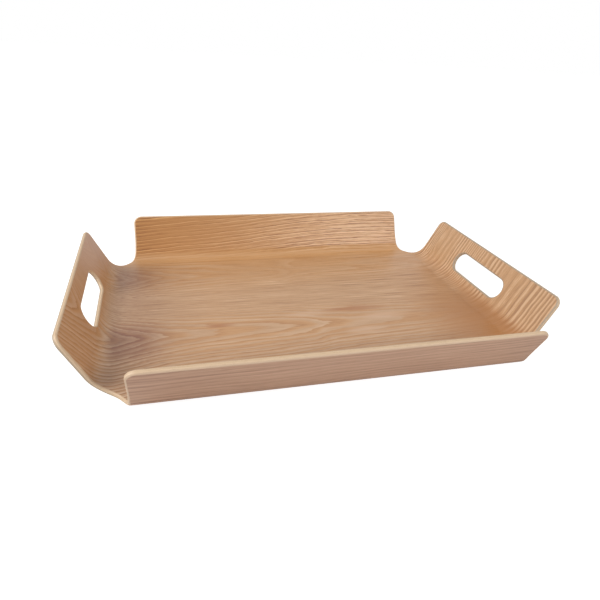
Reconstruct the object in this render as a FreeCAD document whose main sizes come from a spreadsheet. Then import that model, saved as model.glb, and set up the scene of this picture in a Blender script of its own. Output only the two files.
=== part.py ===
import FreeCAD, Part
import os
import math
import Sketcher

# Moulded-plywood serving tray.
#
# Seven veneers are glued and pressed into one shape: a flat floor with four walls
# bent up from it, two end walls with a hand slot each and two plain side walls.
# The corners are notched down into the floor, so no veneer bends two ways at once.
# +X is the long way, +Y the wide way, +Z up, and the origin is the middle of the
# underside.  Every veneer is one PartDesign body, drawn as a quarter and mirrored
# twice.

SIZES = {
    # the floor between the start lines of the bends
    "floor_length": 367.5,
    "floor_width": 258.0,
    # the lay-up: face and back veneer, and the plies between them
    "veneer_thickness": 0.6,
    "ply_thickness": 0.6,
    # bends, measured on the upper face, and how far each wall turns up
    "end_bend_radius": 21.0,
    "side_bend_radius": 14.5,
    "end_wall_angle": 63.0,
    "side_wall_angle": 64.0,
    # straight run of each wall above its bend, up the slope
    "end_wall_run": 41.2,
    "side_wall_run": 42.9,
    # corner notches, seen from above: how far each wall stops short of the bend
    # line of its neighbour, and the hollow corner between the two wall edges
    "end_edge_setback": 13.7,
    "side_edge_setback": 11.0,
    "notch_radius": 35.0,
    "rim_corner_radius": 9.0,
    # hand slots, in the plane of the end walls
    "slot_length": 92.0,
    "slot_width": 22.7,
    "slot_below_rim": 17.9,
}

# The plies between the two veneers, from the top down.  Their grain runs across
# and along the tray by turns.
INNER_PLIES = [
    "cross_ply_upper",
    "long_ply_upper",
    "core_ply",
    "long_ply_lower",
    "cross_ply_lower",
]

# Expressions that more than one feature uses.  Heights and reaches are those of
# the tray's upper face.
STACK = "(2 * Sizes.veneer_thickness + %d * Sizes.ply_thickness)" % len(INNER_PLIES)
HALF = {
    "end": "(Sizes.floor_length / 2)",
    "side": "(Sizes.floor_width / 2)",
}
BEND_REACH = "Sizes.%s_bend_radius * sin(Sizes.%s_wall_angle * 1deg)"
BEND_RISE = "Sizes.%s_bend_radius * (1 - cos(Sizes.%s_wall_angle * 1deg))"
RUN_REACH = "Sizes.%s_wall_run * cos(Sizes.%s_wall_angle * 1deg)"


def bend_end(wall):
    """Where a wall's bend ends, out from the middle of the tray."""
    return "(%s + %s)" % (HALF[wall], BEND_REACH % (wall, wall))


def rim_reach(wall):
    """Where a wall's rim is, out from the middle of the tray."""
    return "(%s + %s)" % (bend_end(wall), RUN_REACH % (wall, wall))


doc = FreeCAD.newDocument("serving_tray")

sheet = doc.addObject("Spreadsheet::Sheet", "Sizes")
for row, (alias, number) in enumerate(SIZES.items(), start=1):
    sheet.set("A%d" % row, alias)
    sheet.set("B%d" % row, str(number))
    sheet.setAlias("B%d" % row, alias)
doc.recompute()


def number(expression):
    """The present value of an expression, to draw a sketch near its final place."""
    return float(sheet.evalExpression(expression))


def origin_plane(body, role):
    for feature in body.Origin.OriginFeatures:
        if feature.Role == role:
            return feature
    raise RuntimeError("no origin plane " + role)


def new_sketch(body, name, role):
    sketch = body.newObject("Sketcher::SketchObject", name)
    sketch.AttachmentSupport = [(origin_plane(body, role), "")]
    sketch.MapMode = "FlatFace"
    return sketch


def point(x, y):
    return FreeCAD.Vector(x, y, 0)


def line(sketch, start, end, construction=False):
    return sketch.addGeometry(Part.LineSegment(start, end), construction)


def arc(sketch, centre, radius, first, last):
    circle = Part.Circle(centre, FreeCAD.Vector(0, 0, 1), radius)
    return sketch.addGeometry(Part.ArcOfCircle(circle, first, last), False)


def rule(sketch, kind, *elements):
    sketch.addConstraint(Sketcher.Constraint(kind, *elements))


def size(sketch, name, expression, kind, *elements):
    """Add a dimension, name it and bind it to the sheet."""
    value = number(expression)
    if kind == "Angle":
        value = math.radians(value)
        expression = "(%s) * 1deg" % expression
    index = sketch.addConstraint(Sketcher.Constraint(kind, *elements, value))
    sketch.renameConstraint(index, name)
    sketch.setExpression("Constraints." + name, expression)


# Ends of a sketch element: 1 is its start, 2 its end and 3 the centre of an arc.
# Element -1 is the sketch's x axis, with the origin at its start, and -2 its y axis.


def wall_section(body, wall, role, depth, thickness):
    """Half of a veneer's cross-section: floor, bend and wall, both faces offset."""
    half = number(HALF[wall])
    inner = number("Sizes.%s_bend_radius + %s" % (wall, depth))
    outer = inner + number(thickness)
    turn = math.radians(number("Sizes.%s_wall_angle" % wall))
    run = number("Sizes.%s_wall_run" % wall)
    top = number("%s - (%s)" % (STACK, depth))
    bottom = top - number(thickness)
    centre = point(half, top + inner)
    out = point(math.sin(turn), -math.cos(turn))
    up = point(math.cos(turn), math.sin(turn))

    sketch = new_sketch(body, wall.capitalize() + "Section", role)
    floor_low = line(sketch, point(0, bottom), point(half, bottom))
    bend_low = arc(sketch, centre, outer, -math.pi / 2, -math.pi / 2 + turn)
    wall_low = line(sketch, centre + out * outer, centre + out * outer + up * run)
    rim = line(sketch, centre + out * outer + up * run, centre + out * inner + up * run)
    wall_high = line(sketch, centre + out * inner + up * run, centre + out * inner)
    bend_high = arc(sketch, centre, inner, -math.pi / 2, -math.pi / 2 + turn)
    floor_high = line(sketch, point(half, top), point(0, top))
    middle = line(sketch, point(0, top), point(0, bottom))

    rule(sketch, "Tangent", floor_low, 2, bend_low, 1)
    rule(sketch, "Tangent", bend_low, 2, wall_low, 1)
    rule(sketch, "Coincident", wall_low, 2, rim, 1)
    rule(sketch, "Coincident", rim, 2, wall_high, 1)
    rule(sketch, "Tangent", wall_high, 2, bend_high, 2)
    rule(sketch, "Tangent", bend_high, 1, floor_high, 1)
    rule(sketch, "Coincident", floor_high, 2, middle, 1)
    rule(sketch, "Coincident", middle, 2, floor_low, 1)
    rule(sketch, "Coincident", bend_low, 3, bend_high, 3)
    rule(sketch, "PointOnObject", floor_low, 1, -2)
    rule(sketch, "Vertical", middle)
    rule(sketch, "Horizontal", floor_low)
    rule(sketch, "Horizontal", floor_high)
    rule(sketch, "Perpendicular", rim, wall_low)
    rule(sketch, "Parallel", wall_high, wall_low)

    size(sketch, "half", HALF[wall], "DistanceX", -1, 1, bend_high, 3)
    size(sketch, "top", "%s - (%s)" % (STACK, depth), "DistanceY", -1, 1, middle, 1)
    size(sketch, "thickness", thickness, "Distance", middle)
    size(sketch, "radius", "Sizes.%s_bend_radius + %s" % (wall, depth), "Radius", bend_high)
    size(sketch, "turn", "Sizes.%s_wall_angle" % wall, "Angle", wall_low)
    size(sketch, "run", "Sizes.%s_wall_run" % wall, "Distance", wall_low)
    return sketch


def corner_notch(body):
    """What the corner notch takes away, seen from above."""
    edge_y = "%s - Sizes.end_edge_setback" % HALF["side"]
    edge_x = "%s - Sizes.side_edge_setback" % HALF["end"]
    past_x = "%s + 2 * %s" % (rim_reach("end"), STACK)
    past_y = "%s + 2 * %s" % (rim_reach("side"), STACK)
    near = point(number(edge_x), number(edge_y))
    far = point(number(past_x), number(past_y))
    radius = number("Sizes.notch_radius")
    centre = near + point(radius, radius)

    sketch = new_sketch(body, "CornerNotch", "XY_Plane")
    end_edge = line(sketch, point(far.x, near.y), point(centre.x, near.y))
    hollow = arc(sketch, centre, radius, math.pi, 3 * math.pi / 2)
    side_edge = line(sketch, point(near.x, centre.y), point(near.x, far.y))
    far_side = line(sketch, point(near.x, far.y), far)
    far_end = line(sketch, far, point(far.x, near.y))

    rule(sketch, "Tangent", end_edge, 2, hollow, 2)
    rule(sketch, "Tangent", hollow, 1, side_edge, 1)
    rule(sketch, "Coincident", side_edge, 2, far_side, 1)
    rule(sketch, "Coincident", far_side, 2, far_end, 1)
    rule(sketch, "Coincident", far_end, 2, end_edge, 1)
    rule(sketch, "Horizontal", end_edge)
    rule(sketch, "Vertical", side_edge)
    rule(sketch, "Horizontal", far_side)
    rule(sketch, "Vertical", far_end)

    size(sketch, "edge_x", edge_x, "DistanceX", -1, 1, side_edge, 2)
    size(sketch, "edge_y", edge_y, "DistanceY", -1, 1, end_edge, 1)
    size(sketch, "past_x", past_x, "DistanceX", -1, 1, far_side, 2)
    size(sketch, "past_y", past_y, "DistanceY", -1, 1, far_side, 2)
    size(sketch, "hollow_radius", "Sizes.notch_radius", "Radius", hollow)
    return sketch


def hand_slot(body):
    """The slot's outline in the plane of the end wall, its x axis up the slope."""
    centre_x = "Sizes.end_wall_run - Sizes.slot_below_rim - Sizes.slot_width / 2"
    radius = number("Sizes.slot_width / 2")
    reach = number("(Sizes.slot_length - Sizes.slot_width) / 2")
    up = number(centre_x)

    sketch = new_sketch(body, "HandSlot", "XY_Plane")
    turned = FreeCAD.Rotation(FreeCAD.Vector(0, 1, 0), -number("Sizes.end_wall_angle"))
    base = FreeCAD.Vector(number(bend_end("end")), 0, number(STACK + " + " + BEND_RISE % ("end", "end")))
    sketch.AttachmentOffset = FreeCAD.Placement(base, turned)
    sketch.setExpression(".AttachmentOffset.Base.x", bend_end("end"))
    sketch.setExpression(".AttachmentOffset.Base.z", STACK + " + " + BEND_RISE % ("end", "end"))
    sketch.setExpression(".AttachmentOffset.Rotation.Angle", "-Sizes.end_wall_angle * 1deg")

    left = arc(sketch, point(up, reach), radius, 0, math.pi)
    right = arc(sketch, point(up, -reach), radius, math.pi, 2 * math.pi)
    low = line(sketch, point(up - radius, reach), point(up - radius, -reach))
    high = line(sketch, point(up + radius, -reach), point(up + radius, reach))

    rule(sketch, "Tangent", left, 2, low, 1)
    rule(sketch, "Tangent", low, 2, right, 1)
    rule(sketch, "Tangent", right, 2, high, 1)
    rule(sketch, "Tangent", high, 2, left, 1)
    rule(sketch, "Equal", left, right)
    rule(sketch, "Symmetric", left, 3, right, 3, -1)
    size(sketch, "radius", "Sizes.slot_width / 2", "Radius", left)
    size(sketch, "up", centre_x, "DistanceX", -1, 1, left, 3)
    size(sketch, "reach", "Sizes.slot_length - Sizes.slot_width",
         "DistanceY", right, 3, left, 3)
    return sketch


def rim_corner(shape, wall):
    """Name of the short edge at the outer end of a wall's rim."""
    turn = math.radians(number("Sizes.%s_wall_angle" % wall))
    if wall == "end":
        up = FreeCAD.Vector(math.cos(turn), 0, math.sin(turn))
        along = FreeCAD.Vector(0, 1, 0)
    else:
        up = FreeCAD.Vector(0, math.cos(turn), math.sin(turn))
        along = FreeCAD.Vector(1, 0, 0)
    facing_up = [face for face in shape.Faces if face.normalAt(0, 0).dot(up) > 0.9999]
    rim = max(facing_up, key=lambda face: face.CenterOfMass.z)
    corner = max(rim.Edges, key=lambda edge: edge.CenterOfMass.dot(along))
    for index, edge in enumerate(shape.Edges, start=1):
        if edge.isSame(corner):
            return "Edge%d" % index
    raise RuntimeError("no rim corner on the " + wall + " wall")


def cut_through(body, name, sketch):
    """A pocket through everything, both ways from its sketch."""
    doc.recompute()
    before = body.Shape.Volume
    pocket = body.newObject("PartDesign::Pocket", name)
    pocket.Profile = sketch
    pocket.Type = "ThroughAll"
    pocket.SideType = "Symmetric"
    doc.recompute()
    if not pocket.Shape.Volume < before:
        raise RuntimeError(body.Label + ": " + name + " cuts nothing")


def mirror(body, name, role):
    feature = body.newObject("PartDesign::Mirrored", name)
    feature.TransformMode = "Whole shape"
    feature.MirrorPlane = (origin_plane(body, role), [""])
    body.Tip = feature
    doc.recompute()


def make_veneer(name, depth, thickness):
    """One veneer whose upper face lies a given depth below the tray's upper face."""
    body = doc.addObject("PartDesign::Body", name)
    body.Label = name

    section = wall_section(body, "end", "XZ_Plane", depth, thickness)
    pad = body.newObject("PartDesign::Pad", "EndWall")
    pad.Profile = section
    pad.setExpression("Length", HALF["side"])
    pad.Reversed = True

    section = wall_section(body, "side", "YZ_Plane", depth, thickness)
    pad = body.newObject("PartDesign::Pad", "SideWall")
    pad.Profile = section
    pad.setExpression("Length", HALF["end"])

    cut_through(body, "Notch", corner_notch(body))
    cut_through(body, "Slot", hand_slot(body))

    whole = body.Tip
    corners = [rim_corner(whole.Shape, "end"), rim_corner(whole.Shape, "side")]
    rounding = body.newObject("PartDesign::Fillet", "RimCorners")
    rounding.Base = (whole, corners)
    rounding.setExpression("Radius", "Sizes.rim_corner_radius")
    doc.recompute()

    mirror(body, "OtherSide", "XZ_Plane")
    mirror(body, "OtherEnd", "YZ_Plane")
    body.Placement = FreeCAD.Placement()
    return body


veneers = [make_veneer("face_veneer", "0 * Sizes.veneer_thickness", "Sizes.veneer_thickness")]
for place, name in enumerate(INNER_PLIES):
    depth = "Sizes.veneer_thickness + %d * Sizes.ply_thickness" % place
    veneers.append(make_veneer(name, depth, "Sizes.ply_thickness"))
depth = "Sizes.veneer_thickness + %d * Sizes.ply_thickness" % len(INNER_PLIES)
veneers.append(make_veneer("back_veneer", depth, "Sizes.veneer_thickness"))

doc.recompute()
for item in doc.Objects:
    if "Invalid" in item.State or "Error" in item.State:
        raise RuntimeError("%s failed: %s" % (item.Label, item.State))
for body in veneers:
    shape = body.Shape
    if shape.isNull() or not shape.isValid() or len(shape.Solids) != 1:
        raise RuntimeError(body.Label + " is not one valid solid")
for body in veneers:
    body.Shape.exportStep("parts/%s.step" % body.Label)
    print("%-16s %8.1f mm3" % (body.Label, body.Shape.Volume))
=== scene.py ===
import math

import bpy
import numpy as np
from mathutils import Matrix, Vector
from mathutils.geometry import delaunay_2d_cdt


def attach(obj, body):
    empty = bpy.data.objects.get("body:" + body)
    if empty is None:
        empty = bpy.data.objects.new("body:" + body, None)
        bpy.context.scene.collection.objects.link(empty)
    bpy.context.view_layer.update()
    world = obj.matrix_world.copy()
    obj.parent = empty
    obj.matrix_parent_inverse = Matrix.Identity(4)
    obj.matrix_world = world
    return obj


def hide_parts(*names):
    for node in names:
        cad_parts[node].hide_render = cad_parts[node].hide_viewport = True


# A press-moulded plywood tray, dressed ply by ply.  Every ply is a closed shell of
# its own, bent from one flat sheet, so the grain is worked out on the flat sheet and
# runs on over the bends.  The cut edges are eased over the whole stack, as sanding
# leaves them.  Lengths are in millimetres until a mesh is made, and in metres in
# Blender: lamps, the camera and the depth of a material's relief.

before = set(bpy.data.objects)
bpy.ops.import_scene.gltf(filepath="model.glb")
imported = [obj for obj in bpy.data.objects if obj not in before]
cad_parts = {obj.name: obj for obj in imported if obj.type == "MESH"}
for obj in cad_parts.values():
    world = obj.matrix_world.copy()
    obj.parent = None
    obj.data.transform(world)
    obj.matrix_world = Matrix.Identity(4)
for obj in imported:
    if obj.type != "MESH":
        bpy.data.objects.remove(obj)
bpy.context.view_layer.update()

# ---------------------------------------------------------------- dimensions

# the floor out to the start of the bends, from the middle of the tray
HALF_LENGTH, HALF_WIDTH = 183.75, 129.0
# the bends on the upper face of the stack, and the straight run of wall above them
END_RADIUS, SIDE_RADIUS = 21.0, 14.5
END_ANGLE, SIDE_ANGLE = math.radians(63), math.radians(64)
END_RUN, SIDE_RUN = 41.2, 42.9
# how far each wall stops short of the bend line of its neighbour
END_SETBACK, SIDE_SETBACK = 13.7, 11.0
END_EDGE, SIDE_EDGE = HALF_WIDTH - END_SETBACK, HALF_LENGTH - SIDE_SETBACK
NOTCH_RADIUS = 35.0
NOTCH_CENTRE = (SIDE_EDGE + NOTCH_RADIUS, END_EDGE + NOTCH_RADIUS)
CORNER_RADIUS = 9.0
SLOT_HALF_LENGTH, SLOT_HALF_WIDTH = 46.0, 11.35
SLOT_TO_RIM = 17.9
PLY = 0.6
EASED = 1.5

END_BEND = (HALF_LENGTH, END_RADIUS, END_ANGLE)
SIDE_BEND = (HALF_WIDTH, SIDE_RADIUS, SIDE_ANGLE)
# how far the sheet reaches when it is laid flat, measured on its upper face
END_BEND_TOP = HALF_LENGTH + END_RADIUS * END_ANGLE
SIDE_BEND_TOP = HALF_WIDTH + SIDE_RADIUS * SIDE_ANGLE
END_REACH, SIDE_REACH = END_BEND_TOP + END_RUN, SIDE_BEND_TOP + SIDE_RUN
SLOT_CENTRE = END_REACH - SLOT_TO_RIM - SLOT_HALF_WIDTH

# the plies from the face down, with the finish that each takes
PLIES = {
    "face_veneer": "face_veneer",
    "cross_ply_upper": "cross_ply",
    "long_ply_upper": "long_ply",
    "core_ply": "cross_ply",
    "long_ply_lower": "long_ply",
    "cross_ply_lower": "cross_ply",
    "back_veneer": "back_veneer",
}
STACK = len(PLIES) * PLY

# ------------------------------------------------------- from flat to moulded


def wall_bend(flat, bend, depth):
    """Where a flat distance from the middle goes: reach, rise and turn."""
    start, radius, angle = bend
    size = np.abs(flat)
    turn = np.clip((size - start) / radius, 0, angle)
    straight = np.clip(size - start - radius * angle, 0, None)
    reach = np.minimum(size, start) + (radius + depth) * np.sin(turn)
    reach = reach + straight * math.cos(angle)
    rise = radius * (1 - np.cos(turn)) + straight * math.sin(angle)
    rise = rise - depth * (np.cos(turn) - 1)
    return np.sign(flat) * reach, rise, np.sign(flat) * turn


def moulded(flat, depth):
    """Flat points (n, 2) at a depth below the upper face, in the tray's shape."""
    x, rise_x, _ = wall_bend(flat[:, 0], END_BEND, depth)
    y, rise_y, _ = wall_bend(flat[:, 1], SIDE_BEND, depth)
    return np.column_stack([x, y, rise_x + rise_y + STACK - depth])


def facing(flat):
    """The upward normal of the sheet at flat points."""
    turn_x = wall_bend(flat[:, 0], END_BEND, 0)[2]
    turn_y = wall_bend(flat[:, 1], SIDE_BEND, 0)[2]
    up = np.cos(turn_x) * np.cos(turn_y)
    return np.column_stack([-np.sin(turn_x), -np.sin(turn_y), up])


def unbent(reach, bend, depth):
    """The flat distance that ends up at this reach, seen from above."""
    start, radius, angle = bend
    top = start + (radius + depth) * math.sin(angle)
    turn = np.arcsin(np.clip((reach - start) / (radius + depth), 0, math.sin(angle)))
    straight = np.clip(reach - top, 0, None) / math.cos(angle)
    return np.minimum(reach, start) + radius * turn + straight


# ------------------------------------------------------------------- outlines

# points along the stretches of a quarter of the outline
END_RIM_POINTS, SIDE_RIM_POINTS = 44, 64
END_FLANK_POINTS, SIDE_FLANK_POINTS = 10, 12
CORNER_POINTS, NOTCH_POINTS = 16, 56
# points along a slot's straight side, and degrees between those round its ends
SLOT_SIDE_POINTS, SLOT_END_STEP = 28, 5


def spread(first, last, steps):
    """Points from first up to, and without, last."""
    share = np.arange(steps)[:, None] / steps
    return (1 - share) * np.array(first) + share * np.array(last)


def arc(centre, radius, first, last, steps):
    """Points round a centre between two angles in degrees, without the last."""
    turn = np.radians(first + (last - first) * np.arange(steps) / steps)
    return np.column_stack(
        [centre[0] + radius * np.cos(turn), centre[1] + radius * np.sin(turn)]
    )


def flat_outline(depth):
    """The sheet's outline at a depth, flat, anticlockwise from the right end."""
    tangent_x = unbent(NOTCH_CENTRE[0], END_BEND, depth)
    tangent_y = unbent(NOTCH_CENTRE[1], SIDE_BEND, depth)
    corner_x, corner_y = END_REACH - CORNER_RADIUS, SIDE_REACH - CORNER_RADIUS
    inner_x, inner_y = SIDE_EDGE - CORNER_RADIUS, END_EDGE - CORNER_RADIUS
    # the notch is round as seen from above, not on the flat sheet
    notch = arc(NOTCH_CENTRE, NOTCH_RADIUS, 270, 180, NOTCH_POINTS)
    notch = np.column_stack(
        [unbent(notch[:, 0], END_BEND, depth), unbent(notch[:, 1], SIDE_BEND, depth)]
    )
    quarter = np.vstack(
        [
            spread((END_REACH, 0), (END_REACH, inner_y), END_RIM_POINTS),
            arc((corner_x, inner_y), CORNER_RADIUS, 0, 90, CORNER_POINTS),
            spread((corner_x, END_EDGE), (tangent_x, END_EDGE), END_FLANK_POINTS),
            notch,
            spread((SIDE_EDGE, tangent_y), (SIDE_EDGE, corner_y), SIDE_FLANK_POINTS),
            arc((inner_x, corner_y), CORNER_RADIUS, 0, 90, CORNER_POINTS),
            spread((inner_x, SIDE_REACH), (0, SIDE_REACH), SIDE_RIM_POINTS),
            [(0, SIDE_REACH)],
        ]
    )
    # the other three quarters are its mirror images
    return np.vstack(
        [
            quarter,
            quarter[-2::-1] * (-1, 1),
            quarter[1:] * (-1, -1),
            quarter[-2:0:-1] * (1, -1),
        ]
    )


def flat_slot(side):
    """A hand slot's outline, flat, clockwise, so that the wood is on its left."""
    turns = np.radians(np.arange(0, 180, SLOT_END_STEP))
    corner = SLOT_HALF_LENGTH - SLOT_HALF_WIDTH
    left = spread((-SLOT_HALF_WIDTH, -corner), (-SLOT_HALF_WIDTH, corner), SLOT_SIDE_POINTS)
    round_end = SLOT_HALF_WIDTH * np.column_stack([-np.cos(turns), np.sin(turns)])
    half = np.vstack([left, round_end + (0, corner)])
    return np.vstack([half, -half]) + (side * SLOT_CENTRE, 0)


def moved_in(loop, inset):
    """A closed loop moved to its left."""
    along = np.roll(loop, -1, axis=0) - np.roll(loop, 1, axis=0)
    along = along / np.linalg.norm(along, axis=1)[:, None]
    return loop + inset * np.column_stack([-along[:, 1], along[:, 0]])


def eased_by_angle(degrees):
    """Depth and inset on the easing's round, at an angle from the cut edge."""
    turn = math.radians(degrees)
    return EASED * (1 - math.sin(turn)), EASED * (1 - math.cos(turn))


def eased_by_depth(depth):
    """Depth and inset on the easing's round, at a depth below the face."""
    return depth, EASED - math.sqrt(EASED**2 - (EASED - depth) ** 2)


def levels():
    """Depths through the stack with the easing's inset, close where it turns."""
    top = [eased_by_angle(degrees) for degrees in (90, 78, 66, 55, 45)]
    top.append(eased_by_depth(PLY))
    top += [eased_by_angle(degrees) for degrees in (28, 20)]
    top.append(eased_by_depth(2 * PLY))
    top += [(EASED, 0.0), (3 * PLY, 0.0)]
    return top + [(STACK - depth, inset) for depth, inset in reversed(top)]


LEVELS = levels()
LAST_LEVEL = len(LEVELS) - 1
# the outline and the two slots, each as one loop for every level
LOOPS = [
    [moved_in(flat_outline(depth), inset) for depth, inset in LEVELS],
    [moved_in(flat_slot(1), inset) for _, inset in LEVELS],
    [moved_in(flat_slot(-1), inset) for _, inset in LEVELS],
]


def band_normals(stages):
    """Normals of a cut edge, level by level, from the moulded points."""
    points = np.array([moulded(loop, depth) for loop, (depth, _) in zip(stages, LEVELS)])
    along = np.roll(points, -1, axis=1) - np.roll(points, 1, axis=1)
    down = np.gradient(points, axis=0)
    normal = np.cross(down, along)
    normal /= np.linalg.norm(normal, axis=2)[:, :, None]
    normal[0] = facing(stages[0])
    normal[-1] = -facing(stages[-1])
    return normal


NORMALS = [band_normals(stages) for stages in LOOPS]

# ------------------------------------------------------------- broad surfaces

# between the points of a broad face: over the bends, and elsewhere
SHOWN_SPACING, GLUED_SPACING = (2.4, 4.5), (4.0, 14.0)
# one row of points follows each loop, and the others keep clear of it
ROW_INSET, CLEARANCE = 0.7, 1.6
# for the triangulation: only what the loops enclose, and points this near are one
ENCLOSED_ONLY, SAME_POINT = 1, 1e-6


def inside(points, loop):
    """Which points lie within a closed loop."""
    result = np.zeros(len(points), bool)
    x, y = points[:, 0], points[:, 1]
    for (x1, y1), (x2, y2) in zip(loop, np.roll(loop, -1, axis=0)):
        if y1 != y2:
            crosses = (y1 > y) != (y2 > y)
            result ^= crosses & (x < (x2 - x1) * (y - y1) / (y2 - y1) + x1)
    return result


def on_wood(points, loops):
    """Which points lie within the outline and outside both slots."""
    outline, *slots = loops
    result = inside(points, outline)
    for slot in slots:
        result &= ~inside(points, slot)
    return result


def clear_of(points, loop):
    """Which points keep clear of every corner of a loop."""
    nearest = np.full(len(points), np.inf)
    for corner in loop:
        nearest = np.minimum(nearest, np.hypot(*(points - corner).T))
    return nearest > CLEARANCE


def stations(start, top, reach, spacing):
    """Distances along one axis, close together over the bend."""
    fine, coarse = spacing
    flat = np.linspace(0, start, max(2, round(start / coarse) + 1))
    bend = np.linspace(start, top, max(2, round((top - start) / fine) + 1))
    wall = np.linspace(top, reach, max(2, round((reach - top) / coarse) + 1))
    half = np.concatenate([flat, bend[1:], wall[1:-1]])
    return np.concatenate([-half[:0:-1], half])


def broad_face(level, spacing):
    """Inner points of a ply's broad face and the triangles over them."""
    loops = [stages[level] for stages in LOOPS]
    xs = stations(HALF_LENGTH, END_BEND_TOP, END_REACH, spacing)
    ys = stations(HALF_WIDTH, SIDE_BEND_TOP, SIDE_REACH, spacing)
    grid = np.array(np.meshgrid(xs, ys)).reshape(2, -1).T
    grid = grid[on_wood(grid, loops)]
    for loop in loops:
        grid = grid[clear_of(grid, loop)]
    rows = [moved_in(loop, ROW_INSET) for loop in loops]
    points = np.vstack(loops + rows + [grid])
    edges, start = [], 0
    for loop in loops:
        count = len(loop)
        edges += [(start + i, start + (i + 1) % count) for i in range(count)]
        start += count
    corners = [Vector(point) for point in points]
    found = delaunay_2d_cdt(corners, edges, [], ENCLOSED_ONLY, SAME_POINT)
    source = [ids[0] if ids else -1 for ids in found[3]]
    triangles = np.array([[source[v] for v in face] for face in found[2]])
    middle = points[triangles].mean(axis=1)
    keep = on_wood(middle, loops) & (triangles >= 0).all(axis=1)
    return points[start:], triangles[keep]


def nearest_level(depth):
    return min(range(len(LEVELS)), key=lambda level: abs(LEVELS[level][0] - depth))


PLY_LEVELS = [nearest_level(count * PLY) for count in range(len(PLIES) + 1)]
FACES = {
    level: broad_face(level, SHOWN_SPACING if level in (0, LAST_LEVEL) else GLUED_SPACING)
    for level in PLY_LEVELS
}

# ------------------------------------------------------------ one ply's shell

# Where things lie on a ply's map for baked colours: the main broad face fills the
# upper part, four rows hold the outline's cut edge and a fifth the slots', and the
# other broad face, which is glued, is small.
MAP_MARGIN = 0.008
MAP_SCALE = (1 - 2 * MAP_MARGIN) / (2 * END_REACH)
MAIN_MIDDLE = np.array([0.5, 1 - MAP_MARGIN - SIDE_REACH * MAP_SCALE])
SMALL_MIDDLE, SMALL_SCALE = np.array([0.08, 0.1825]), 0.14 * MAP_SCALE
OUTLINE_ROWS = 4
ROW_STEP, ROW_HEIGHT = 0.024, 0.014
SLOT_STARTS, SLOT_END = (MAP_MARGIN, 0.51), 0.49

# a ply's two materials, in the order that its mesh counts them
BROAD, EDGE = 0, 1
MILLIMETRES_PER_METRE = 1000


def edge_places(which, size, top, bottom):
    """Map places of one level's quads round a cut edge, (size, 4, 2)."""
    index = np.arange(size)
    if which == 0:
        in_row = size // OUTLINE_ROWS
        row, along = index // in_row, index % in_row
        start, width = MAP_MARGIN, 1 - 2 * MAP_MARGIN
    else:
        in_row = size
        row, along = np.full(size, OUTLINE_ROWS), index
        start, width = SLOT_STARTS[which - 1], SLOT_END - MAP_MARGIN
    left = start + width * along / in_row
    right = start + width * (along + 1) / in_row
    base = MAP_MARGIN + ROW_STEP * row
    upper, lower = base + ROW_HEIGHT * top, base + ROW_HEIGHT * bottom
    corners = [(left, upper), (left, lower), (right, lower), (right, upper)]
    return np.stack([np.column_stack(corner) for corner in corners], axis=1)


def round_quads(upper, lower):
    """What belongs to the four corners of each quad between two closed loops."""
    following = [np.roll(values, -1, axis=0) for values in (lower, upper)]
    return np.stack([upper, lower, *following], axis=1)


class Shell:
    """A mesh in the making, gathered block by block."""

    def __init__(self):
        self.count = 0
        self.points, self.flats = [], []
        self.faces, self.normals, self.materials, self.places = [], [], [], []

    def add_points(self, flat, depth):
        """Add the points at a depth, and return their numbers."""
        self.points.append(moulded(flat, depth))
        self.flats.append(np.column_stack([flat, np.full(len(flat), depth)]))
        self.count += len(flat)
        return np.arange(self.count - len(flat), self.count)

    def add_faces(self, faces, normals, material, places):
        """Add faces, with a normal and a place on the map for every corner."""
        self.faces += faces.tolist()
        self.normals.append(normals.reshape(-1, 3))
        self.materials.append(np.full(len(faces), material, np.int32))
        self.places.append(places.reshape(-1, 2))

    def mesh(self, name):
        """The Blender mesh, in metres, with the flat place of every point."""
        mesh = bpy.data.meshes.new(name)
        points = np.vstack(self.points) / MILLIMETRES_PER_METRE
        mesh.from_pydata(points.tolist(), [], self.faces)
        flats = mesh.attributes.new("flat", "FLOAT_VECTOR", "POINT")
        flats.data.foreach_set("vector", np.vstack(self.flats).astype(np.float32).ravel())
        mesh.polygons.foreach_set("material_index", np.concatenate(self.materials))
        mesh.polygons.foreach_set("use_smooth", np.ones(len(self.faces), bool))
        mesh.normals_split_custom_set(np.vstack(self.normals).tolist())
        baked = mesh.uv_layers.new(name="OFBake")
        baked.data.foreach_set("uv", np.vstack(self.places).astype(np.float32).ravel())
        mesh.update()
        return mesh


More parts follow.
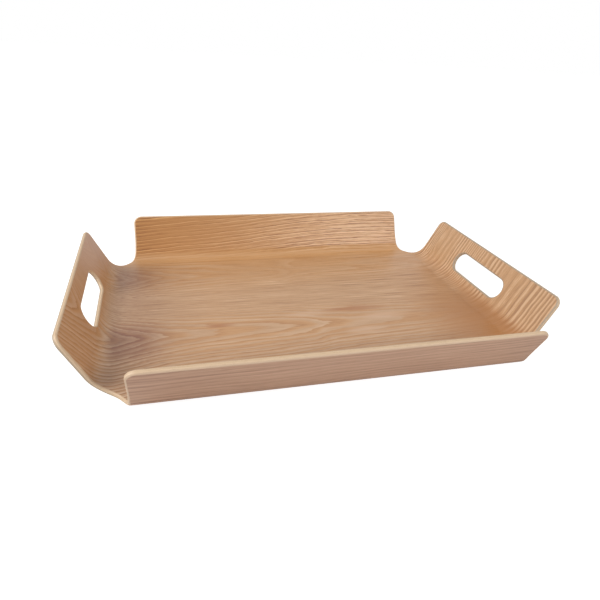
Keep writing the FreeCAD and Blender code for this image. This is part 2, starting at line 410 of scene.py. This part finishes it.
def ply_shell(name, first, last):
    """One ply as a closed piece between two levels of the stack."""
    shell = Shell()
    numbers = {
        level: [shell.add_points(stages[level], LEVELS[level][0]) for stages in LOOPS]
        for level in range(first, last + 1)
    }
    # the cut edge, level by level
    for level in range(first, last):
        share = (np.array([level, level + 1]) - first) / (last - first)
        for which, normals in enumerate(NORMALS):
            quads = round_quads(numbers[level][which], numbers[level + 1][which])
            places = edge_places(which, len(quads), *share)
            shell.add_faces(quads, round_quads(normals[level], normals[level + 1]), EDGE, places)
    # the broad faces, of which the one nearer to the outside is the main one
    main = last if last == LAST_LEVEL else first
    for level, sign in ((first, 1), (last, -1)):
        inner, triangles = FACES[level]
        flat = np.vstack([stages[level] for stages in LOOPS] + [inner])
        all_numbers = np.concatenate(
            numbers[level] + [shell.add_points(inner, LEVELS[level][0])]
        )
        side_1, side_2 = (flat[triangles[:, i]] - flat[triangles[:, 0]] for i in (1, 2))
        turn = side_1[:, 0] * side_2[:, 1] - side_1[:, 1] * side_2[:, 0]
        ordered = np.where((turn * sign > 0)[:, None], triangles, triangles[:, ::-1])
        material = BROAD if level in (0, LAST_LEVEL) else EDGE
        if level == main:
            places = MAIN_MIDDLE + MAP_SCALE * flat[ordered]
        else:
            places = SMALL_MIDDLE + SMALL_SCALE * flat[ordered]
        normals = facing(flat)[ordered] * sign
        shell.add_faces(all_numbers[ordered], normals, material, places)
    piece = bpy.data.objects.new(name, shell.mesh(name))
    bpy.context.scene.collection.objects.link(piece)
    return piece


# ------------------------------------------------------------ material helpers


class Nodes:
    """A node tree, with short calls for what is used often."""

    def __init__(self, tree):
        self.tree = tree
        tree.nodes.clear()

    def add(self, kind, **settings):
        node = self.tree.nodes.new(kind)
        for key, value in settings.items():
            setattr(node, key, value)
        return node

    def feed(self, socket, value):
        """Link a socket into another one, or give it a constant."""
        if isinstance(value, bpy.types.NodeSocket):
            self.tree.links.new(value, socket)
        elif value is not None:
            socket.default_value = value

    def math(self, operation, a, b=None, c=None, clamp=False):
        node = self.add("ShaderNodeMath", operation=operation, use_clamp=clamp)
        for socket, value in zip(node.inputs, (a, b, c)):
            self.feed(socket, value)
        return node.outputs[0]

    def plus(self, first, *others):
        for other in others:
            first = self.math("ADD", first, other)
        return first

    def minus(self, a, b):
        return self.math("SUBTRACT", a, b)

    def times(self, first, *others):
        for other in others:
            first = self.math("MULTIPLY", first, other)
        return first

    def swing(self, value, weight, middle=0.5):
        """How far a value is from its middle, weighted."""
        return self.times(self.minus(value, middle), weight)

    def apart(self, value, middle):
        """How far a value is from its middle, without the sign."""
        return self.math("ABSOLUTE", self.minus(value, middle))

    def span(self, value, low, high, out_low=0.0, out_high=1.0, smooth=True):
        """From out_low to out_high while the value goes from low to high."""
        node = self.add(
            "ShaderNodeMapRange",
            interpolation_type="SMOOTHSTEP" if smooth else "LINEAR",
        )
        for socket, number in zip(node.inputs, (value, low, high, out_low, out_high)):
            self.feed(socket, number)
        return node.outputs[0]

    def noise(self, places, rates, detail, roughness=0.5):
        """Noise at places, which change at these rates per millimetre."""
        point = self.add("ShaderNodeCombineXYZ")
        for socket, place, rate in zip(point.inputs, places, rates):
            self.feed(socket, place if rate is None else self.times(place, rate))
        node = self.add("ShaderNodeTexNoise", noise_dimensions="3D")
        self.feed(node.inputs["Vector"], point.outputs[0])
        node.inputs["Scale"].default_value = 1.0
        node.inputs["Detail"].default_value = detail
        node.inputs["Roughness"].default_value = roughness
        return node.outputs["Fac"]

    def grain(self, x, y, along, across, seed, detail, roughness=0.5):
        """Noise drawn out along x, different for every seed."""
        return self.noise((x, y, seed), (along, across, None), detail, roughness)

    def ramp(self, value, stops):
        """Colours, or plain levels, with straight steps between."""
        node = self.add("ShaderNodeValToRGB")
        elements = node.color_ramp.elements
        while len(elements) < len(stops):
            elements.new(0.5)
        for element, (place, shade) in zip(elements, stops):
            element.position = place
            element.color = shade if isinstance(shade, tuple) else (shade, shade, shade, 1)
        self.feed(node.inputs[0], value)
        return node.outputs[0]

    def mix(self, factor, a, b, blend="MIX"):
        node = self.add("ShaderNodeMix", data_type="RGBA", blend_type=blend)
        self.feed(node.inputs["Factor"], factor)
        for socket, value in ((node.inputs[6], a), (node.inputs[7], b)):
            self.feed(socket, value)
        return node.outputs[2]

    def curve(self, value, points, handle="AUTO"):
        node = self.add("ShaderNodeFloatCurve")
        track = node.mapping.curves[0]
        while len(track.points) < len(points):
            track.points.new(0.5, 0.5)
        for point, place in zip(track.points, points):
            point.location = place
            point.handle_type = handle
        node.mapping.update()
        self.feed(node.inputs["Value"], value)
        return node.outputs[0]


def colour(red, green, blue):
    """An sRGB colour as the linear one that the shader takes."""

    def linear(value):
        value /= 255
        return value / 12.92 if value <= 0.04045 else ((value + 0.055) / 1.055) ** 2.4

    return (linear(red), linear(green), linear(blue), 1.0)


def new_material(name):
    material = bpy.data.materials.new(name)
    material.use_nodes = True
    return material, Nodes(material.node_tree)


LACQUER_GLOSS = 0.75
# depth of the pores and rings that the lacquer follows, and of a sanded edge's
FACE_RELIEF, EDGE_RELIEF = 0.00006, 0.00005
EDGE_ROUGHNESS = 0.55


def wood(name, build):
    """A satin lacquered wood from its tint, roughness, relief and relief's depth."""
    material, nodes = new_material(name)
    place = nodes.add("ShaderNodeAttribute", attribute_name="flat")
    split = nodes.add("ShaderNodeSeparateXYZ")
    nodes.feed(split.inputs[0], place.outputs["Vector"])
    tint, rough, relief, depth = build(nodes, *split.outputs)
    shader = nodes.add("ShaderNodeBsdfPrincipled")
    shader.inputs["Specular IOR Level"].default_value = LACQUER_GLOSS
    nodes.feed(shader.inputs["Base Color"], tint)
    nodes.feed(shader.inputs["Roughness"], rough)
    bump = nodes.add("ShaderNodeBump")
    bump.inputs["Strength"].default_value = 1.0
    bump.inputs["Distance"].default_value = depth
    nodes.feed(bump.inputs["Height"], relief)
    nodes.feed(shader.inputs["Normal"], bump.outputs[0])
    output = nodes.add("ShaderNodeOutputMaterial")
    nodes.feed(output.inputs["Surface"], shader.outputs[0])
    return material


# ------------------------------------------------------------ the face veneer
#
# Two flame figures lie along the tray, with straight fine lines between them.  In
# these functions x runs along the flat sheet and y across it, from its middle.  In
# a span of x or y the first two numbers are places on the flat sheet, and the last
# two are what it gives there.

# how wide a ring is on a flame's flank, how far out the flank starts, and how round
# the tip is; then how much of the ring count each of the two gives
RING_WIDTH, FLANK, TIP = 2.8, 45.0, 2.0
FLANK_SHARE, TIP_SHARE = 0.6, 0.12
# the middle line of each flame, and where its ring count starts
FRONT_FLAME, REAR_FLAME = (-45.0, 0.0), (81.0, 8.1)
FLAME_BLEND = 3.0
# how fast the flames follow each other along the tray, out of so many rings
FLAME_RINGS, FLAME_OFFSET, FLAME_END = 12.4, 4.0, 250.0
FLAME_STEPS = [
    (0.0, 0.04), (0.07, 0.27), (0.12, 0.40), (0.166, 0.484), (0.222, 0.565), (0.336, 0.645),
    (0.478, 0.726), (0.534, 0.806), (0.765, 0.887), (0.89, 0.952), (1.0, 1.0),
]
# across a ring: on the floor, and more crisply on the walls
CALM_RING = [
    (0.0, 0.16), (0.12, 0.30), (0.32, 0.46), (0.55, 0.66), (0.86, 0.78), (0.96, 0.70),
    (1.0, 0.20),
]
CRISP_RING = [
    (0.0, 0.0), (0.10, 0.30), (0.45, 0.48), (0.66, 0.62), (0.80, 1.0), (0.92, 0.62),
    (1.0, 0.0),
]
THIN_LINE = [(0.0, 0.0), (0.25, 0.7), (0.8, 1.0), (1.0, 0.1)]

# the right end wall has streaks of its own, grain whose light ridges carry painted glints: how
# many, and how strong, from the front of the wall to its rear
END_STREAKS, END_FRONT, END_REAR = 45.5, -115.0, 120.0
END_COUNT = [
    (0.0, 0.0), (0.106, 0.119), (0.204, 0.187), (0.362, 0.253), (0.451, 0.330),
    (0.523, 0.374), (0.66, 0.572), (0.745, 0.660), (0.813, 0.704), (0.894, 0.737),
    (1.0, 0.891),
]
END_STRENGTH = [
    (0.0, 0.8), (0.09, 1.0), (0.18, 0.9), (0.22, 0.35), (0.25, 0.8), (0.29, 0.25),
    (0.36, 0.25), (0.38, 1.0), (0.45, 0.9), (0.47, 0.45), (0.50, 0.45), (0.52, 0.7),
    (0.66, 0.75), (0.74, 1.0), (0.77, 0.45), (0.88, 0.3), (0.92, 1.0), (1.0, 0.9),
]
END_STREAK = [
    (0.0, 0.05), (0.12, 0.0), (0.34, 0.45), (0.55, 0.9), (0.72, 1.0), (0.9, 0.55),
    (1.0, 0.05),
]

# colours from the darkest tone to the lightest
FACE_TONES = [
    (0.0, colour(150, 98, 56)), (0.25, colour(179, 127, 79)), (0.5, colour(196, 147, 99)),
    (0.75, colour(207, 160, 114)), (1.0, colour(230, 190, 150)),
]
GREYER_TONES = [
    (0.0, colour(158, 118, 86)), (0.5, colour(190, 151, 116)), (1.0, colour(213, 179, 145)),
]
# spots on the floor: middle, half length and width, how clear, and colour
BROWN, PALE = colour(175, 120, 76), colour(214, 177, 145)
SPOTS = [
    (-90, -33.5, 16, 5, 1.0, BROWN), (56, -19.5, 38, 6, 1.0, BROWN),
    (4, -24, 26, 6, 0.5, PALE), (56, -64, 26, 7, 0.5, PALE), (82, -38, 34, 6, 0.6, PALE),
]
# the right bend's colour: the wood's own, with painted shade and a painted orange reflection
AMBER_AND_SHADE = colour(171, 112, 54)
END_WALL_CREAM = colour(199, 166, 128)
HEART_BROWN = colour(144, 91, 62)
LEFT_WALL_ORANGE = colour(215, 135, 64)
LEFT_WALL_PALE = colour(226, 193, 174)
# painted light: a lighter tan for the rear bend
REAR_BEND_LIGHT = colour(214, 162, 104)
FOOT_BROWN = colour(164, 110, 64)
# shares of the light that stay, where a colour is deepened
# painted shade and sheen: the rear wall darker and yellower towards its left
REAR_SHADE_YELLOW = (0.87, 0.74, 0.47, 1.0)
# painted shade on the floor by the left and front walls
PAINTED_SHADE = (0.905, 0.90, 0.93, 1.0)
GOLDEN = (1.0, 0.98, 0.78, 1.0)


class Grain:
    """What the steps of the face veneer's material hand on to each other."""


def flame_rings(n, x, y):
    """The ring count over the whole sheet, and the noises that bend it."""
    g = Grain()
    # slow wander of the grain, and its tilt, which grows towards the rear wall
    g.drift = n.grain(x, y, 0.007, 0.018, 3.1, detail=1.0)
    tilt = n.span(y, 95.0, 150.0, 0.0, 0.095)
    g.y = n.minus(y, n.times(tilt, n.math("SMOOTH_MIN", x, 85.0, 70.0)))
    g.y = n.plus(g.y, n.swing(g.drift, 5.0))

    def flame(centre, start):
        """Ring count outwards from the middle line of one flame figure."""
        gap = n.minus(g.y, centre)
        square = n.times(gap, gap)
        tip = n.math("SQRT", n.plus(square, TIP**2))
        flank = n.math("SQRT", n.plus(square, FLANK**2))
        start -= FLANK_SHARE * FLANK / RING_WIDTH
        rings = n.math("MULTIPLY_ADD", flank, FLANK_SHARE / RING_WIDTH, start)
        return n.math("MULTIPLY_ADD", tip, TIP_SHARE / RING_WIDTH, rings)

    g.rings = n.math("SMOOTH_MIN", flame(*FRONT_FLAME), flame(*REAR_FLAME), FLAME_BLEND)
    steps = n.curve(n.span(x, -FLAME_END, FLAME_END, smooth=False), FLAME_STEPS)
    steps = n.minus(n.times(steps, FLAME_RINGS), FLAME_OFFSET)
    steps = n.times(steps, n.span(y, 90.0, 135.0, 1.0, 0.15))
    g.jag = n.grain(x, g.y, 0.022, 0.12, 7.7, detail=2.0)
    g.fine = n.grain(x, g.y, 0.05, 0.9, 1.3, detail=3.0)
    g.rings = n.plus(g.rings, steps, n.swing(g.jag, 0.95), n.swing(g.fine, 0.22))
    return g


def ring_levels(n, g, x, y):
    """How light the rings and the thin lines are, and how clearly they show."""
    # the walls show crisper grain than the floor, partly the wood's own and partly painted light:
    # glints on the walls, and a sheen that washes out the floor's
    g.end_wall = n.span(x, 184.0, 203.0)
    g.rear_wall = n.span(y, 133.0, 146.0)
    g.walls = n.math("MAXIMUM", g.end_wall, g.rear_wall)
    # how clearly the rings of the flames show on the floor
    lower = n.span(y, -2.0, -24.0)
    sides = n.plus(n.span(x, -60.0, -95.0), n.times(n.span(x, 60.0, 110.0), 0.8))
    upper = n.times(n.span(y, 38.0, 60.0), n.math("MULTIPLY_ADD", sides, 0.45, 0.12))
    figure = n.times(n.plus(lower, upper), n.span(x, 105.0, 145.0, 1.0, 0.5))
    g.figure = n.plus(0.12, n.times(figure, 0.74))
    # a ring outwards: a soft brown edge, tan, then lighter up to the next edge; on
    # the walls a thin brown line and, across from it, a light one
    g.phase = n.math("FRACT", g.rings)
    calm = n.plus(0.52, n.swing(n.ramp(g.phase, CALM_RING), g.figure, 0.52))
    g.ring = n.mix(g.walls, calm, n.ramp(g.phase, CRISP_RING))
    # every few rings the contrast changes
    contrast = n.noise((g.rings, 0.4, 0.2), (0.55, None, None), detail=1.0)
    g.contrast = n.span(contrast, 0.32, 0.68, -1.0, 1.0)
    lines = n.plus(n.times(g.rings, 1.7), n.times(g.fine, 0.9))
    g.lines = n.ramp(n.math("FRACT", lines), THIN_LINE)
    g.streak = n.grain(x, g.y, 0.012, 0.75, 5.0, detail=4.0, roughness=0.65)
    g.pore = n.grain(x, g.y, 0.11, 2.6, 9.0, detail=3.0, roughness=0.6)


def floor_tone(n, g, x, y):
    """From dark, 0, to light, 1: the floor, the left wall and the rear wall."""
    livelier = n.times(g.rear_wall, n.span(x, -110.0, 190.0, 0.25, 2.1))
    low_rows = n.math("MAXIMUM", n.span(y, -62.0, -85.0), n.span(x, -165.0, -185.0))
    corner = n.times(n.span(x, -150.0, -175.0), n.span(y, -35.0, -70.0))
    # the left wall's fine grain is soft
    softly = n.span(x, -192.0, -212.0, 1.0, 0.45)
    weight = n.plus(n.times(g.rear_wall, -0.2), n.times(livelier, 0.42), n.times(corner, 0.5))
    tone = n.swing(g.ring, n.plus(0.70, weight))
    tone = n.times(tone, n.math("MULTIPLY_ADD", g.contrast, 0.5, 1.0))
    weight = n.plus(0.12, n.times(low_rows, 0.22), n.times(livelier, 0.55))
    weight = n.times(weight, softly, n.minus(1.0, n.times(corner, 0.4)))
    tone = n.plus(tone, n.swing(g.lines, weight), n.times(g.contrast, 0.05))
    weight = n.times(softly, n.plus(0.75, n.times(livelier, 0.9)))
    tone = n.plus(tone, n.swing(g.streak, weight))
    # fine dashes, clearest in the quiet wood between the flames and towards the right
    dash = n.grain(x, g.y, 0.023, 0.95, 15.0, detail=0.0)
    weight = n.times(
        n.span(y, -24.0, 2.0, 0.25, 1.0),
        n.span(y, 50.0, 85.0, 1.0, 0.6),
        n.span(x, 20.0, 110.0, 1.05, 1.6),
        n.span(x, -184.0, -206.0, 1.0, 0.4),
        n.minus(1.0, g.walls),
    )
    tone = n.plus(tone, n.swing(dash, weight), n.swing(g.pore, n.times(softly, 0.45)))
    return n.plus(tone, 0.5)


def end_wall_tone(n, g, x, y):
    """The same for the right end wall, with its own streaks, whose light ridges carry painted
    glints.
    """
    place = n.span(y, END_FRONT, END_REAR, smooth=False)
    count = n.times(n.curve(place, END_COUNT, "VECTOR"), END_STREAKS)
    sway = n.grain(x, y, 0.045, 0.07, 4.4, detail=1.0)
    sway = n.swing(sway, n.span(y, 78.0, 98.0, 0.6, 2.4))
    bar = n.math("FRACT", n.plus(count, sway, n.times(g.fine, 0.5)))
    strength = n.times(n.curve(place, END_STRENGTH, "VECTOR"), 1.2)
    return n.plus(
        n.swing(n.ramp(bar, END_STREAK), strength, 0.48),
        n.swing(g.streak, 1.6),
        n.swing(g.pore, 1.7),
        n.span(y, -30.0, -70.0, 0.58, 0.50),
    )


def floor_tint(n, g, x, y, tint):
    """Greyer wood between and within the rings, and the spots."""
    band = n.times(n.span(g.phase, 0.30, 0.62), n.span(g.phase, 1.0, 0.95))
    quiet = n.times(
        n.span(n.apart(y, 0.0), 75.0, 25.0, 0.30, 0.58),
        n.span(y, 40.0, 80.0, 1.0, 0.6),
        n.span(x, 60.0, 130.0, 1.0, 0.65),
    )
    grey = n.mix(g.figure, quiet, n.times(band, 0.85))
    grey = n.times(grey, n.minus(1.0, g.walls))
    tint = n.mix(grey, tint, n.ramp(g.tone, GREYER_TONES))
    ragged_y = n.plus(y, n.swing(g.jag, 9.0))
    for centre_x, centre_y, half_x, half_y, share, spot in SPOTS:
        across = n.swing(x, 1 / half_x, centre_x)
        up = n.swing(ragged_y, 1 / half_y, centre_y)
        away = n.math("SQRT", n.plus(n.times(across, across), n.times(up, up)))
        away = n.plus(away, n.swing(g.streak, 2.2))
        # blunt at the left end, drawn out to the right
        blunt = n.span(across, 1.2, -0.3, 0.15, 1.0)
        tint = n.mix(n.times(n.span(away, 1.3, 0.5, 0.0, share), blunt), tint, spot)
    return tint


def end_tint(n, g, x, y, tint):
    """Darker colour towards the right bend, partly the wood's own and partly painted shade, and
    dark hearts on the left one.
    """
    # painted shade: the floor darkens to orange-brown towards the right bend, partly its own
    # colour and partly painted shade and a painted orange reflection of the end wall
    amber_and_shade = n.times(
        n.span(x, 90.0, 178.0),
        n.span(y, -45.0, 30.0, 0.84, 0.36),
        n.span(y, 30.0, 85.0, 1.0, 0.4),
        n.span(x, 209.0, 194.0),
    )
    tint = n.mix(amber_and_shade, tint, AMBER_AND_SHADE)
    tint = n.mix(n.span(x, 198.0, 210.0, 0.0, 0.32), tint, END_WALL_CREAM)
    hearts = n.math(
        "MAXIMUM",
        n.span(n.apart(y, 82.0), 34.0, 8.0),
        n.span(n.apart(y, -52.0), 40.0, 12.0, 0.0, 1.45),
    )
    heart = n.plus(
        n.math("MULTIPLY_ADD", hearts, 0.36, 0.20),
        n.swing(g.lines, -0.25, 0.6),
        n.swing(g.ring, -0.85),
        n.swing(g.drift, 0.3),
    )
    bend = n.times(n.span(x, -130.0, -171.0), n.span(x, -198.0, -188.0))
    tint = n.mix(n.math("MULTIPLY", bend, heart, clamp=True), tint, HEART_BROWN)
    # the left wall is warmer, and paler towards the rear of its rim
    tint = n.mix(n.span(x, -194.0, -210.0, 0.0, 0.14), tint, LEFT_WALL_ORANGE)
    pale = n.times(n.span(x, -208.0, -232.0), n.span(y, 0.0, 70.0, 0.0, 0.38))
    return n.mix(pale, tint, LEFT_WALL_PALE)


def rear_tint(n, g, x, y, tint):
    """A yellower rear wall, darker towards its left as painted shade and paler towards its right
    as painted sheen, painted light on its bend, its foot, and painted shade on the floor in
    front.
    """
    # painted shade and sheen: the rear wall is darker and yellower towards its left, and paler
    # towards its right, where it catches a sheen
    rear_shade = n.times(g.rear_wall, n.span(x, 190.0, -170.0, smooth=False))
    tint = n.mix(rear_shade, tint, REAR_SHADE_YELLOW, "MULTIPLY")
    # painted shade: the floor is a little darker towards the left bend, where the left wall
    # shades it, and along the front wall
    floor_shade = n.times(
        n.math(
            "MAXIMUM",
            n.span(x, -85.0, -150.0, 0.0, 0.85),
            n.span(y, -58.0, -92.0, 0.0, 0.9),
        ),
        n.span(x, -206.0, -190.0),
        n.span(x, 190.0, 150.0),
        n.span(y, 138.0, 118.0),
    )
    tint = n.mix(floor_shade, tint, PAINTED_SHADE, "MULTIPLY")
    golden = n.times(
        g.rear_wall,
        n.span(g.tone, 0.8, 0.2, 0.25, 1.0),
        n.span(x, -130.0, -20.0, 0.2, 1.0),
    )
    tint = n.mix(golden, tint, GOLDEN, "MULTIPLY")
    # painted light: the rear bend is lightened towards a tan, against the shade that the bend
    # takes
    rear_bend_light = n.span(n.apart(y, 127.0), 18.0, 3.0, 0.0, 0.4)
    tint = n.mix(rear_bend_light, tint, REAR_BEND_LIGHT)
    # one darker line along the foot of the rear wall
    foot = n.math("ABSOLUTE", n.plus(n.minus(y, 120.5), n.swing(g.jag, 4.0)))
    foot = n.times(n.span(foot, 3.4, 0.4, 0.0, 0.30), n.span(x, 150.0, 120.0, 0.3, 1.0))
    return n.mix(foot, tint, FOOT_BROWN)


def ash_face(n, x, y, _):
    """The show face: two flame figures along the tray with fine lines between."""
    g = flame_rings(n, x, y)
    ring_levels(n, g, x, y)
    g.tone = n.mix(g.end_wall, floor_tone(n, g, x, y), end_wall_tone(n, g, x, y))
    tint = n.ramp(g.tone, FACE_TONES)
    for step in (floor_tint, end_tint, rear_tint):
        tint = step(n, g, x, y, tint)
    rough = n.span(g.pore, 0.3, 0.7, 0.50, 0.38)
    relief = n.plus(n.times(g.pore, 0.6), n.times(g.ring, 0.5))
    return tint, rough, relief, FACE_RELIEF


# ------------------------------------------------- the underside and cut edges

# one broad figure: its middle line, where its flank starts and how wide a ring is
BACK_MIDDLE, BACK_FLANK, BACK_RING_WIDTH = 60.0, 50.0, 5.2
BACK_RING = [
    (0.0, 0.25), (0.12, 0.05), (0.4, 0.45), (0.7, 0.85), (0.9, 0.9), (1.0, 0.3),
]
BACK_TONES = [
    (0.0, colour(160, 118, 93)), (0.4, colour(184, 143, 116)), (0.8, colour(199, 158, 130)),
    (1.0, colour(208, 168, 140)),
]
# the dark and the light of a sanded edge, by the way that its grain runs
EDGE_TONES = {
    "x": (colour(198, 167, 132), colour(218, 190, 157)),
    "y": (colour(188, 155, 120), colour(213, 184, 150)),
}
UNDERSIDE_PINK, FACE_SIDE_PINK = colour(206, 174, 148), colour(208, 172, 136)
# painted shade on the rounded cut edge
EDGE_SHADE_GREY = colour(156, 141, 122)


def ash_back(n, x, y, _):
    """The underside: quieter, straight grain, pinker."""
    drift = n.grain(x, y, 0.006, 0.02, 23.1, detail=1.0)
    y = n.plus(y, n.swing(drift, 14.0))
    gap = n.minus(y, BACK_MIDDLE)
    rings = n.math("SQRT", n.math("MULTIPLY_ADD", gap, gap, BACK_FLANK**2))
    rings = n.plus(n.times(rings, 1 / BACK_RING_WIDTH), n.times(x, -0.006))
    jag = n.grain(x, y, 0.03, 0.16, 27.7, detail=2.0)
    rings = n.plus(rings, n.swing(jag, 0.9))
    ring = n.ramp(n.math("FRACT", rings), BACK_RING)
    streak = n.grain(x, y, 0.01, 0.5, 25.0, detail=3.0, roughness=0.65)
    pore = n.grain(x, y, 0.11, 2.6, 29.0, detail=3.0, roughness=0.6)
    tone = n.plus(
        n.times(ring, 0.42),
        n.swing(streak, 1.8),
        n.swing(pore, 0.6),
        n.span(x, -200.0, -20.0, 0.12, 0.42),
        n.span(x, 120.0, 185.0, 0.0, -0.14),
    )
    rough = n.span(pore, 0.3, 0.7, 0.54, 0.42)
    relief = n.plus(n.times(pore, 0.7), n.times(ring, 0.3))
    return n.ramp(tone, BACK_TONES), rough, relief, FACE_RELIEF


def cut_edge(way):
    """Sanded edge of a ply whose grain runs along x or along y."""

    def build(n, x, y, depth):
        along, across = (x, y) if way == "x" else (y, x)
        place = (along, across, depth)
        fibre = n.noise(place, (0.05, 1.7, 2.3), detail=4.0, roughness=0.6)
        slow = n.noise(place, (0.01, 0.12, 0.9), detail=2.0)
        tone = n.plus(n.times(fibre, 0.75), n.times(slow, 0.45))
        dark, light = EDGE_TONES[way]
        tint = n.ramp(tone, [(0.36, dark), (0.62, light), (0.85, light)])
        # the outer plies, sanded round, look pinker than the middle of the stack
        tint = n.mix(n.span(depth, 2.6, 4.0, 0.0, 0.5), tint, UNDERSIDE_PINK)
        tint = n.mix(n.span(depth, 0.6, 0.1, 0.0, 0.35), tint, FACE_SIDE_PINK)
        # painted shade: a greyer line round each end, where the rounded edge is in shade:
        # outermost on the left, innermost on the right
        left = n.times(n.span(depth, 1.9, 2.9), n.span(x, -172.0, -200.0))
        right = n.times(n.span(depth, 1.3, 0.4), n.span(x, 172.0, 200.0))
        tint = n.mix(n.times(n.plus(left, right), 0.7), tint, EDGE_SHADE_GREY)
        return tint, EDGE_ROUGHNESS, fibre, EDGE_RELIEF

    return build


FACE = wood("ash_face", ash_face)
BACK = wood("ash_back", ash_back)
LONG_EDGE = wood("sanded_edge_long", cut_edge("x"))
CROSS_EDGE = wood("sanded_edge_cross", cut_edge("y"))

for place, (name, slot) in enumerate(PLIES.items()):
    piece = ply_shell(name + "_dressed", PLY_LEVELS[place], PLY_LEVELS[place + 1])
    edge = CROSS_EDGE if slot == "cross_ply" else LONG_EDGE
    piece.data.materials.append({"face_veneer": FACE, "back_veneer": BACK}.get(name, edge))
    piece.data.materials.append(edge)
    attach(piece, "root")
    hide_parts(name)

# ----------------------------------------------------------- floor and light

FLOOR_HALF, FLOOR_BELOW = 6, 0.0002
# the floor's grey as it lights the tray, and its grey and glow as it is seen
FLOOR_GREY, SEEN_GREY, SEEN_GLOW = 0.80, 0.5, 0.85
ROOM_LIGHT = 0.40
LAMP_TARGET = Vector((0, 0, 0.02))


def studio():
    """A white backdrop, which lights the tray less than it shines itself."""
    world = bpy.data.worlds.new("studio")
    bpy.context.scene.world = world
    world.use_nodes = True
    sky = Nodes(world.node_tree)
    seen = sky.add("ShaderNodeLightPath")
    # what shows in the gloss: the white backdrop behind, a dimmer room in front
    heading = sky.add("ShaderNodeTexCoord")
    direction = sky.add("ShaderNodeSeparateXYZ")
    sky.feed(direction.inputs[0], heading.outputs["Generated"])
    mirrored = sky.span(direction.outputs[1], -0.5, 0.4, 0.35, 1.0)
    strength = sky.math(
        "MULTIPLY_ADD", seen.outputs["Is Glossy Ray"], sky.minus(mirrored, ROOM_LIGHT), ROOM_LIGHT
    )
    strength = sky.math("MAXIMUM", strength, seen.outputs["Is Camera Ray"])
    backdrop = sky.add("ShaderNodeBackground")
    backdrop.inputs[0].default_value = (1, 1, 1, 1)
    sky.feed(backdrop.inputs[1], strength)
    output = sky.add("ShaderNodeOutputWorld")
    sky.feed(output.inputs["Surface"], backdrop.outputs[0])


def white_floor():
    """A floor that looks as white as the backdrop, with a soft shadow on it."""
    material, nodes = new_material("white_floor")
    paper = nodes.add("ShaderNodeBsdfDiffuse")
    paper.inputs["Color"].default_value = (FLOOR_GREY,) * 3 + (1,)
    dim = nodes.add("ShaderNodeBsdfDiffuse")
    dim.inputs["Color"].default_value = (SEEN_GREY,) * 3 + (1,)
    glow = nodes.add("ShaderNodeEmission")
    glow.inputs["Strength"].default_value = SEEN_GLOW
    shining = nodes.add("ShaderNodeAddShader")
    nodes.feed(shining.inputs[0], dim.outputs[0])
    nodes.feed(shining.inputs[1], glow.outputs[0])
    path = nodes.add("ShaderNodeLightPath")
    pick = nodes.add("ShaderNodeMixShader")
    nodes.feed(pick.inputs[0], path.outputs["Is Camera Ray"])
    nodes.feed(pick.inputs[1], paper.outputs[0])
    nodes.feed(pick.inputs[2], shining.outputs[0])
    output = nodes.add("ShaderNodeOutputMaterial")
    nodes.feed(output.inputs["Surface"], pick.outputs[0])
    corners = [
        (x * FLOOR_HALF, y * FLOOR_HALF, -FLOOR_BELOW)
        for x, y in ((-1, -1), (1, -1), (1, 1), (-1, 1))
    ]
    mesh = bpy.data.meshes.new("floor")
    mesh.from_pydata(corners, [], [(0, 1, 2, 3)])
    mesh.materials.append(material)
    floor = bpy.data.objects.new("floor", mesh)
    bpy.context.scene.collection.objects.link(floor)
    return floor


def lamp(name, place, size, power):
    """A round lamp, in metres and watts, aimed at the middle of the tray."""
    data = bpy.data.lights.new(name, "AREA")
    data.shape = "DISK"
    data.size = size
    data.energy = power
    holder = bpy.data.objects.new(name, data)
    holder.location = place
    aim = LAMP_TARGET - Vector(place)
    holder.rotation_mode = "QUATERNION"
    holder.rotation_quaternion = aim.to_track_quat("-Z", "Y")
    bpy.context.scene.collection.objects.link(holder)


studio()
white_floor()
lamp("key", (-1.40, -0.21, 1.03), 1.1, 20)
lamp("front_right", (0.77, -1.40, 0.85), 0.4, 9.5)

# --------------------------------------------------------------------- camera

CAMERA_PLACE = (-0.14121, -0.45943, 0.25874)
YAW, PITCH, ROLL = 0.2924, -0.4819, 0.0712
FOCAL_LENGTH, SENSOR_WIDTH = 30.353, 36.0

ahead = Vector(
    (math.sin(YAW) * math.cos(PITCH), math.cos(YAW) * math.cos(PITCH), math.sin(PITCH))
)
level_right = Vector((math.cos(YAW), -math.sin(YAW), 0))
level_up = level_right.cross(ahead)
right = level_right * math.cos(ROLL) + level_up * math.sin(ROLL)
up = level_up * math.cos(ROLL) - level_right * math.sin(ROLL)
lens = bpy.data.cameras.new("camera")
lens.lens, lens.sensor_width = FOCAL_LENGTH, SENSOR_WIDTH
lens.clip_start, lens.clip_end = 0.01, 50
camera = bpy.data.objects.new("camera", lens)
turn = Matrix((right, up, -ahead)).transposed()
camera.matrix_world = Matrix.Translation(CAMERA_PLACE) @ turn.to_4x4()
bpy.context.scene.collection.objects.link(camera)
bpy.context.scene.camera = camera

bpy.context.scene.view_settings.view_transform = "Standard"
